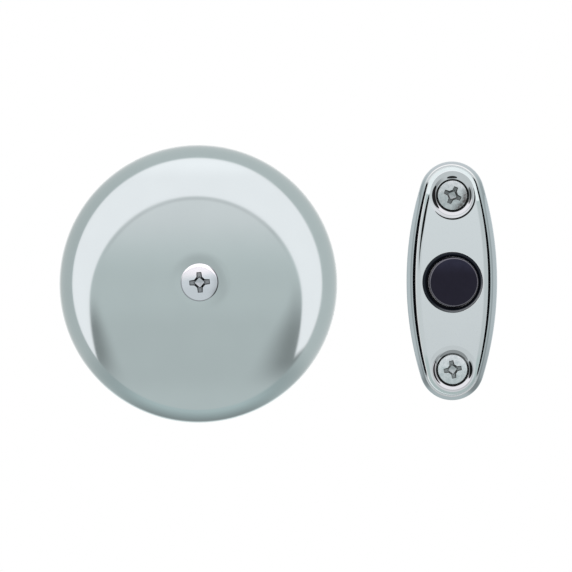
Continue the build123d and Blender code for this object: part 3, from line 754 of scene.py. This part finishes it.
def wood_screw_rings(z):
    """Rings of a wood screw: its point, its threaded shank, its cone and its domed head."""
    rim, shank, root, tip, point_length = WOOD_SCREW_RIM, 2.0, 1.35, -26.0, 3.0
    pitch, thread_front, run_out, half_ridge = 1.75, -5.0, 2.0, 0.34
    cone_end = rim - WOOD_SCREW_RADIUS + shank
    section = [(0, tip)]
    steps = 150
    for step in range(1, steps + 1):
        depth = tip + (cone_end - tip) * step / steps
        section.append((min(shank, shank * (depth - tip) / point_length), depth))
    edge = [(*section[-1], 0), (WOOD_SCREW_RADIUS, rim, 0.12), (WOOD_SCREW_RADIUS - 0.3, rim + 0.14, 0)]
    section += rounded(edge)[1:-1]
    section += dome(WOOD_SCREW_RADIUS - 0.06, rim + 0.03, WOOD_SCREW_DOME - 0.03)
    segments = 40
    rings = []
    for radius, depth in section:
        ring = []
        for index in range(segments if radius > ON_AXIS else 1):
            angle = 2 * pi * index / segments
            reach = radius
            if depth < thread_front:
                phase = ((depth - tip) / pitch + angle / (2 * pi)) % 1
                ridge = max(0.0, 1 - abs(phase - 0.5) / half_ridge)
                ease = min(1.0, (thread_front - depth) / run_out)
                bare = radius * (1 - ease) + radius * root / shank * ease
                reach = bare + (radius - bare) * ridge
            ring.append((PUSH_X + reach * cos(angle), -depth, z + reach * sin(angle)))
        rings.append(ring)
    return rings


def make_plate_screws():
    """Raised countersunk wood screws with rolled threads, each turned as it was left."""
    front = WOOD_SCREW_RIM + WOOD_SCREW_DOME
    for name, z, turn in zip(("upper_screw", "lower_screw"), SEAT_HEIGHTS, (66, 10)):
        screw = skin(name + "_body", wood_screw_rings(z))
        combine(screw, cross_cutter(PUSH_X, z, front, PLATE_RECESS, turn), "DIFFERENCE")
        finish_mesh(screw, screw_zinc(name + "_zinc", z, name == "upper_screw"))
        screw.visible_glossy = False
        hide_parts(name)
        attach(screw, "door_fittings")


# Push plate

def plate_ring(side_inset, side_depth, end_inset, end_depth):
    """Outline of the push plate, moved in from its edge, at a depth that may change to the ends."""
    on_panel = min(1, side_inset / BAND_SIDE)
    pointing = PANEL_POINTING * on_panel
    middle = PUSH_X - PANEL_SHIFT * on_panel
    half_spacing = HALF_SCREW_SPACING + pointing
    half_width = PLATE_WIDTH / 2 - side_inset
    end_radius = PLATE_END_RADIUS - end_inset - pointing
    side_radius = (half_width**2 + half_spacing**2 - end_radius**2) / (2 * (half_width - end_radius))
    side_centre = side_radius - half_width
    meeting = atan2(half_spacing, side_centre)
    side_steps, end_steps = 60, 40
    points = []
    for start, end, steps, x, z, radius in (
        (-meeting, meeting, side_steps, -side_centre, 0, side_radius),
        (meeting, pi - meeting, end_steps, 0, half_spacing, end_radius),
        (pi - meeting, pi + meeting, side_steps, side_centre, 0, side_radius),
        (pi + meeting, 2 * pi - meeting, end_steps, 0, -half_spacing, end_radius),
    ):
        for step in range(steps):
            angle = start + (end - start) * step / steps
            up = z + radius * sin(angle)
            share = min(1, max(0, up) / half_spacing) ** 8
            depth = side_depth + (end_depth - side_depth) * share
            points.append((middle + x + radius * cos(angle), -depth, OUTLINE_Z + up))
    return points


def plate_section(band, groove, chamfer, drop, edge_height, softness):
    """Section of the plate from its panel over its edge to the hollow in its back."""
    draft = 0.1
    foot = band + groove
    corners = [
        (HOLLOW_INSET, PANEL_FRONT, 0), (foot + chamfer, PANEL_FRONT, softness),
        (foot + draft, PANEL_FRONT - drop, 0.1), (foot, GROOVE_FLOOR, 0.05), (band, GROOVE_FLOOR, 0.05),
        (band, BAND_TOP, 0.12), (0, edge_height, 0.25), (0, 0, 0.15), (HOLLOW_INSET, 0, 0.3),
        (HOLLOW_INSET, HOLLOW_FRONT, 0.6), (HOLLOW_INSET + 1.0, HOLLOW_FRONT, 0),
    ]
    return rounded(corners, steps=8)


def make_push_plate():
    """Die-cast plate: band, groove, raised panel, two dished seats and a hollow back."""
    side_section = plate_section(
        band=BAND_SIDE, groove=GROOVE_SIDE, chamfer=1.3, drop=FLANK_DROP, edge_height=1.6, softness=0.3
    )
    end_section = plate_section(
        band=BAND_END, groove=0.40, chamfer=1.15, drop=0.78, edge_height=2.08, softness=0.25
    )
    slots = [0] * len(side_section)
    flank_back = PANEL_FRONT - FLANK_DROP
    for step, (first, second) in enumerate(zip(side_section, side_section[1:])):
        across = (first[0] + second[0]) / 2
        depth = (first[1] + second[1]) / 2
        in_groove = BAND_SIDE - 0.02 < across < BAND_SIDE + GROOVE_SIDE + 0.2
        if in_groove and 1.0 < depth < flank_back:
            slots[step] = 1
        elif flank_back <= depth < PANEL_FRONT - 0.001 and across < HOLLOW_INSET:
            slots[step] = 2
    rings = [plate_ring(*side, *end) for side, end in zip(side_section, end_section)]
    plate = skin("push_plate_casting", rings, capped=True, slots=slots)

    # Bosses and pegs end inside the casting
    inside = HOLLOW_FRONT + 0.5
    additions = []
    for name, heights, radius, back, edge, segments in (
        ("boss", SEAT_HEIGHTS, SEAT_RADIUS, 0.1, 0.25, 72),
        ("peg", PEG_HEIGHTS, PEG_RADIUS, HOLLOW_FRONT - 2.0, 0.2, 32),
    ):
        section = rounded([(0, back, 0), (radius, back, edge), (radius, inside, 0), (0, inside, 0)])
        for z in heights:
            additions.append(turned(name, section, PUSH_X, z, segments))
    combine(plate, additions, "UNION")

    # Each seat is a cone for the head, a step round it and a dish; the cuts run out at both faces
    cut_back, cut_front, shank_hole, head_bore = -1, 7, 2.2, 4.4
    seat = rounded([
        (0, cut_back, 0), (shank_hole, cut_back, 0), (shank_hole, 2.2, 0),
        (WOOD_SCREW_RADIUS, WOOD_SCREW_RIM, 0), (head_bore, WOOD_SCREW_RIM, 0.05),
        (head_bore, 4.15, 0.05), (4.62, 4.18, 0.1), (5.45, 4.78, 0.5),
        (SEAT_RADIUS, PANEL_FRONT + 0.01, 0.1), (6.6, cut_front, 0), (0, cut_front, 0),
    ])
    cuts = [turned("seat", seat, PUSH_X, z, 128) for z in SEAT_HEIGHTS]
    cuts.append(plug("button_hole", BEZEL_RADIUS + 0.04, cut_back, cut_front, PUSH_Z, 144))
    combine(plate, cuts, "DIFFERENCE")
    finish_mesh(plate, plate_chrome(), groove_shade(), flank_chrome(), sharp=25)
    plate.visible_glossy = False
    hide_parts("push_plate")
    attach(plate, "door_fittings")


# Button and its housing

def make_button_housing():
    """Black moulding: bezel, cup, barrel and lug."""
    cup, barrel, spring_bore, rod_bore = 6.9, 5.0, 3.5, 2.1
    front, cup_floor, bore_end, back = 5.6, 0.9, -6.5, -8.0
    section = rounded([
        (BEZEL_RADIUS, 0, 0), (BEZEL_RADIUS, front, 0.8), (cup + 0.3, front, 0.1), (cup, front - 0.4, 0.1),
        (cup, cup_floor, 0.3), (spring_bore, cup_floor, 0.1), (spring_bore, bore_end, 0.2),
        (rod_bore, bore_end, 0.1), (rod_bore, back, 0.1), (barrel, back, 0.4), (barrel, 0, 0.2),
    ])
    housing = turned("button_housing_moulding", section, PUSH_X, PUSH_Z, 144, closed=True)
    lug = slot_solid("lug", length=27.0, width=7.0, back=1.9, front=HOLLOW_FRONT)
    combine(lug, [plug("lug_bore", BEZEL_RADIUS - 0.2, 0, 5, PUSH_Z, 144)], "DIFFERENCE")
    combine(housing, [lug], "UNION")
    holes = [plug("lug_hole", PEG_RADIUS + 0.1, 0, 5, z, 32) for z in PEG_HEIGHTS]
    combine(housing, holes, "DIFFERENCE")
    finish_mesh(housing, housing_black())
    housing.visible_glossy = False
    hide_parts("button_housing")
    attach(housing, "door_fittings")


def slot_solid(name, length, width, back, front):
    """Upright slot about the button's axis, with softened edges."""
    half = length / 2 - width / 2
    steps = 24
    rings = []
    for inset, depth in rounded([(1.0, back, 0), (0, back, 0.2), (0, front, 0.2), (1.0, front, 0)], 3):
        radius = width / 2 - inset
        ring = []
        for middle, start in ((PUSH_Z + half, 0), (PUSH_Z - half, pi)):
            for step in range(steps + 1):
                angle = start + pi * step / steps
                ring.append((PUSH_X + radius * cos(angle), -depth, middle + radius * sin(angle)))
        rings.append(ring)
    return skin(name, rings, capped=True)


def button_black():
    """Black moulding with a tint of blue near its top, and a painted highlight along its edge."""
    material, net, place = new_material("button_black")
    grain = net.noise(place, 7.0, 2.0)
    cloud = net.noise(place, 0.4, 3.0)
    radius, to_x, to_z = polar(net, place, PUSH_X, PUSH_Z)
    upper_left = net.ramp(net.weigh(to_x, to_z, -0.60, 0.80), 0.3, 0.9)
    inner = net.mix(upper_left, 6.36, 6.24)
    # Painted highlight in a thin ring at the edge of the front, reaching further in at its upper left
    painted_highlight = net.every(
        (radius, net.math("SUBTRACT", inner, 0.07), inner),
        (radius, 6.52, 6.44),
        (net.split(place)[1], -8.3, -8.4),
    )
    tone = net.mix(cloud, (0.015, 0.015, 0.025), (0.020, 0.020, 0.032))
    above = net.math("MULTIPLY", radius, to_z)
    near_top = net.every((above, 1.5, 6.2), (cloud, 0.3, 0.6, 0.6, 1.0))
    tone = net.mix(near_top, tone, (0.028, 0.030, 0.052))
    tone = net.mix(painted_highlight, tone, (0.165, 0.170, 0.195))
    net.surface(tone, 0.0, (cloud, 0.38, 0.48), net.bump(grain, 0.004, 0.4), 0.03)
    return material


def make_button_cap():
    """Hollow plunger with a bevelled front."""
    outer, inner, back, front = 6.6, 5.4, 4.4, 8.8
    rod, rod_end, hollow = 2.0, 8.0, 6.8
    section = rounded([
        (rod, rod_end, 0), (rod, hollow, 0.1), (inner, hollow, 0.3), (inner, back, 0.1),
        (outer, back, 0.15), (outer, front - 0.3, 0.12), (outer - 0.4, front, 0.15),
        (4.0, front, 0), (0, front, 0),
    ])
    cap = turned("button_cap_moulding", [(0, rod_end), *section], PUSH_X, PUSH_Z, 144)
    finish_mesh(cap, button_black())
    cap.visible_glossy = False
    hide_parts("button_cap")
    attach(cap, "button")


# Springs

def tube(name, path, radius, segments=12):
    """Round wire through a list of points, with closed ends."""
    turns = [2 * pi * step / segments for step in range(segments)]
    rings = []
    side = Vector((0, 0, 1))
    for index, point in enumerate(path):
        before = path[max(index - 1, 0)]
        after = path[min(index + 1, len(path) - 1)]
        forward = (after - before).normalized()
        side = (side - forward * side.dot(forward)).normalized()
        other = forward.cross(side)
        rings.append([point + radius * (cos(turn) * side + sin(turn) * other) for turn in turns])
    return skin(name, rings, capped=True)


def helix(x, z, radius, back, front, turns, steps=36):
    """Points of a coil that climbs forward, anticlockwise as seen from the front."""
    count = int(turns * steps)
    made = []
    for step in range(count + 1):
        share = step / count
        angle = 2 * pi * turns * share
        depth = back + (front - back) * share
        made.append(Vector((x + radius * cos(angle), -depth, z + radius * sin(angle))))
    return made


def make_button_spring():
    """Compression spring in the barrel, with closed ends."""
    back, front, coil_radius, wire, pitch = -6.2, 6.5, 2.8, 0.3, 1.9
    turns = (front - back) / pitch
    path = helix(PUSH_X, PUSH_Z, coil_radius, back, front, turns)
    spring = tube("button_spring_wire", path, wire)
    finish_mesh(spring, SPRING_WIRE, weighted=False)
    spring.visible_glossy = False
    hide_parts("button_spring")
    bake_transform(spring)


def make_hammer_spring():
    """Torsion spring round the hammer's pivot, with a leg on the tab and a hook on the arm."""
    coil_radius, wire, leg_length = 3.05, 0.35, 8.0
    leg_depth, coil_back, coil_front, hook_depth, hook_end = 1.95, 2.317, 5.865, 6.55, 8.5
    hook_x, hook_z = -22.44, 8.23
    turns = 4.0367
    coil = helix(PIVOT_X, PIVOT_Z, coil_radius, coil_back, coil_front, turns)
    leg_foot = Vector((PIVOT_X + coil_radius, -leg_depth, PIVOT_Z - leg_length))
    corner = Vector((hook_x, -hook_depth, hook_z))
    bend, bend_steps = 0.7, 6
    onward = Vector((0, -1, 0))
    arriving = (corner - coil[-1]).normalized()
    bend_points = []
    for step in range(bend_steps + 1):
        share = step / bend_steps
        first = corner - arriving * bend * (1 - share)
        second = corner + onward * bend * share
        bend_points.append(first.lerp(second, share))
    hook = Vector((hook_x, -hook_end, hook_z))
    path = [leg_foot, leg_foot.lerp(coil[0], 0.5), *coil, *bend_points, hook]
    spring = tube("hammer_spring_wire", path, wire)
    finish_mesh(spring, SPRING_WIRE, weighted=False)
    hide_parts("hammer_spring")
    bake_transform(spring)


def spring_wire():
    """Oiled spring steel with drawing lines."""
    material, net, place = new_material("spring_wire")
    streak = net.noise(place, 2.0, 3.0)
    tone = net.mix(streak, (0.22, 0.22, 0.24), (0.40, 0.40, 0.42))
    net.surface(tone, 1.0, (streak, 0.25, 0.38), net.bump(streak, 0.006, 0.5))
    return material


SPRING_WIRE = spring_wire()


# Pieces that keep their shape from the solids

def dress(names, material):
    """Give nodes of the frame a material in place of their plain one."""
    for name in names:
        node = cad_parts[name]
        node.data.materials.clear()
        node.data.materials.append(material)


def dress_nodes():
    """Materials of the pieces that show their solids as they are."""
    steel = (0.60, 0.60, 0.60)
    dress(["base_plate", "trip_lever", "hammer_arm"], zinc_sheet())
    dress(["centre_post"], turned_metal("post_steel", steel, 0.28, 0, 0))
    dress(["hammer_pivot"], turned_metal("pivot_steel", steel, 0.28, PIVOT_X, PIVOT_Z))
    dress(["push_rod"], turned_metal("rod_steel", steel, 0.25, PUSH_X, PUSH_Z))
    dress(["trip_lever_pin"], turned_metal("pin_steel", steel, 0.28, 0, 0, 0.3))
    dress(["hammer_head"], turned_metal("head_brass", (0.78, 0.60, 0.28), 0.25, -13.0, 20.2))
    dress(["hammer_clip", "rod_clip", "push_on_washers"], SPRING_WIRE)
    dress(["rod_bush"], moulded("bush_white", (0.80, 0.79, 0.75), 0.45))
    dress(["stop_buffer"], moulded("buffer_rubber", (0.03, 0.03, 0.03), 0.75))
    dress(["gong_washer"], moulded("washer_fibre", (0.45, 0.20, 0.12), 0.7, 0.3, 0.03, 2.0))

    # The gong doesn't mirror the unit that lies beside it
    for name in ("push_rod", "rod_clip", "push_on_washers"):
        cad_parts[name].visible_glossy = False


# Studio

# Radius of the gong's crown, by which a direction is placed
CROWN_RADIUS = 39.4

# Opening of the tent, as the gong shows it
OPENING_X = -0.65
OPENING_Z = -5.0
OPENING_RADIUS = 28.25

# Slope of the gong beyond which it shows what is behind the object
BEHIND_SLOPE = 0.722


def studio_world():
    """Pale room seen by direction: a grey front, a bright tent above and at the sides, white behind.

    Each direction is placed by the point of the gong that shows it to a viewer in front, so
    that the limits below are millimetres across and up from the gong's middle.
    """
    world = bpy.data.worlds.new("studio")
    bpy.context.scene.world = world
    world.use_nodes = True
    net = Net(world.node_tree)
    direction = net.node("VectorMath", operation="NORMALIZE")
    net.feed(direction.inputs[0], net.node("TexCoord").outputs["Generated"])
    dx, dy, dz = net.split(direction.outputs[0])
    least = 0.001
    square = net.math("MULTIPLY_ADD", dy, -2.0, 2.0)
    scale = net.math("SQRT", net.math("MAXIMUM", square, least))
    slope_x = net.math("DIVIDE", dx, scale)
    slope_z = net.math("DIVIDE", dz, scale)
    reach = net.math("MAXIMUM", net.length(slope_x, slope_z), least)
    stretch = net.math("ADD", net.math("DIVIDE", LAND_RADIUS, reach), CROWN_RADIUS)
    across = net.math("MULTIPLY", slope_x, stretch)
    up = net.math("MULTIPLY", slope_z, stretch)

    # The tent's opening is round above and draws straight down below
    from_x = net.math("SUBTRACT", across, OPENING_X)
    from_z = net.math("SUBTRACT", up, OPENING_Z)
    above = net.math("MAXIMUM", from_z, 0.0)
    below = net.math("MINIMUM", from_z, 0.0)
    out = net.length(from_x, net.weigh(above, below, 1.0, 0.7))
    right_end = net.weigh(from_x, from_z, 0.674, -0.74)
    tent = net.every((out, OPENING_RADIUS + 0.2, OPENING_RADIUS + 0.8), (right_end, 29.5, 28.1))

    # The grey front is lighter above, with a dark seam by the opening and shades in its lower corners
    level = net.ramp(up, 1.0, 23.0, 0.84, 1.12)
    level = net.math("MULTIPLY_ADD", net.window(up, -24.0, -12.0, 8.0), -0.05, level)
    seam = net.every(net.window(out, OPENING_RADIUS - 0.3, OPENING_RADIUS, 0.5), (up, 5.0, 15.0))
    level = net.math("MULTIPLY", level, net.math("MULTIPLY_ADD", seam, -0.16, 1.0))
    edge_distance = net.math("SUBTRACT", OPENING_RADIUS, out)
    left_width = net.ramp(up, -4.0, -18.0, 3.0, 5.5)
    right_width = net.ramp(up, 0.0, -18.0, 3.2, 9.5)
    left_shade = net.every(
        (edge_distance, left_width, 0.3), (across, -8.0, -14.0), (up, -1.0, -13.0), (up, -29.0, -18.0)
    )
    right_shade = net.every(
        (edge_distance, right_width, 1.0), (across, 8.0, 14.0), (up, 4.0, -16.0), (up, -29.0, -20.0)
    )
    shade = net.math("MAXIMUM", left_shade, right_shade)
    level = net.math("MULTIPLY", level, net.math("MULTIPLY_ADD", shade, -0.48, 1.0))

    # Behind the object the room darkens downward, and straight behind it is the white backdrop
    side = net.math("MAXIMUM", net.length(dx, dz), least)
    downward = net.math("DIVIDE", net.math("MULTIPLY", dz, -1.0), side)
    leftward = net.math("DIVIDE", net.math("MULTIPLY", dx, -1.0), side)
    under = net.ramp(dy, 0.16, 0.81, 0.76, 0.38, smooth=False)
    straight_down = net.mix((downward, 0.75, 0.97), 0.60, under)
    behind = net.ramp(leftward, 0.2, 1.0, 0.82, 0.75)
    behind = net.mix((downward, 0.48, 0.72), behind, straight_down)
    behind = net.mix((dy, 0.90, 0.985), behind, 1.0)

    # A card beside the camera, which the flat panel shows
    card_x = net.math("DIVIDE", net.math("SUBTRACT", dx, 0.070), 0.036)
    card_z = net.math("DIVIDE", net.math("SUBTRACT", dz, 0.017), 0.060)
    in_front = net.math("LESS_THAN", dy, 0.0)
    card = net.every((net.length(card_x, card_z), 1.15, 0.85), in_front)
    level = net.mix(card, level, net.ramp(dz, -0.015, 0.045, 0.83, 0.95))

    # The front is a little pink above, and what is behind is a little green below
    bright = net.ramp(up, 28.0, 33.0, 1.0, 1.08)
    tent_light = net.scale((1.57, 1.43, 1.46), bright)
    rightward = net.ramp(net.math("DIVIDE", slope_x, reach), 0.3, 0.9)
    slope = net.math("MULTIPLY_ADD", rightward, 0.015, reach)
    front = net.ramp(slope, BEHIND_SLOPE, BEHIND_SLOPE - 0.014)
    not_front = net.math("SUBTRACT", 1.0, front)
    white = (1.0, 1.0, 1.0)
    tint = net.mix(net.every(front, (up, 4.0, 20.0)), white, (1.03, 0.968, 0.982))
    tint = net.mix(net.every(not_front, (downward, 0.5, 0.9)), tint, (0.97, 1.05, 1.06))
    tinted = net.scale(tint, net.mix(front, behind, level))
    light = net.mix(net.every(tent, front), tinted, tent_light)
    seen = net.node("LightPath").outputs["Is Camera Ray"]
    background = net.node("Background")
    net.feed(background.inputs["Color"], net.mix(seen, light, white))
    net.output("OutputWorld", background.outputs[0])


def make_floor():
    """Plain pale floor below the object, which fades out into the white."""
    radius, middle, below = 230, 24, 160
    bm = bmesh.new()
    bmesh.ops.create_circle(bm, cap_ends=True, radius=radius, segments=96)
    bmesh.ops.translate(bm, verts=bm.verts, vec=(middle, 0, -below))
    floor = new_object("floor", bm)
    floor.data.transform(Matrix.Scale(METRES, 4))
    material, net, place = new_material("floor_pale")
    across, along, _ = net.split(place)
    reach = net.length(net.math("SUBTRACT", across, middle), along)
    diffuse = net.node("BsdfDiffuse")
    net.feed(diffuse.inputs["Color"], (0.80, 0.80, 0.80, 1.0))
    clear = net.node("BsdfTransparent")
    blend = net.node("MixShader")
    fade = net.ramp(reach, 120.0, radius - 5.0)
    for socket, value in zip(blend.inputs, (fade, diffuse.outputs[0], clear.outputs[0])):
        net.feed(socket, value)
    net.output("OutputMaterial", blend.outputs[0])
    floor.data.materials.append(material)
    floor.visible_glossy = False


def make_camera():
    """Long lens, square from the front, at the photograph's framing."""
    place = Vector((-0.01525, -1.2, -0.01988))
    target = Vector((0.02368, 0.0, -0.00055))
    data = bpy.data.cameras.new("photo_camera")
    data.lens = 279.57
    data.sensor_width = 36.0
    data.clip_start = 0.01
    data.clip_end = 20.0
    camera = bpy.data.objects.new("photo_camera", data)
    bpy.context.scene.collection.objects.link(camera)
    camera.location = place
    camera.rotation_mode = "QUATERNION"
    camera.rotation_quaternion = (target - place).to_track_quat("-Z", "Y")
    bpy.context.scene.camera = camera


make_gong()
make_gong_screw()
make_push_plate()
make_plate_screws()
make_button_housing()
make_button_cap()
make_button_spring()
make_hammer_spring()
dress_nodes()
studio_world()
make_floor()
make_camera()
bpy.context.scene.view_settings.view_transform = "Standard"
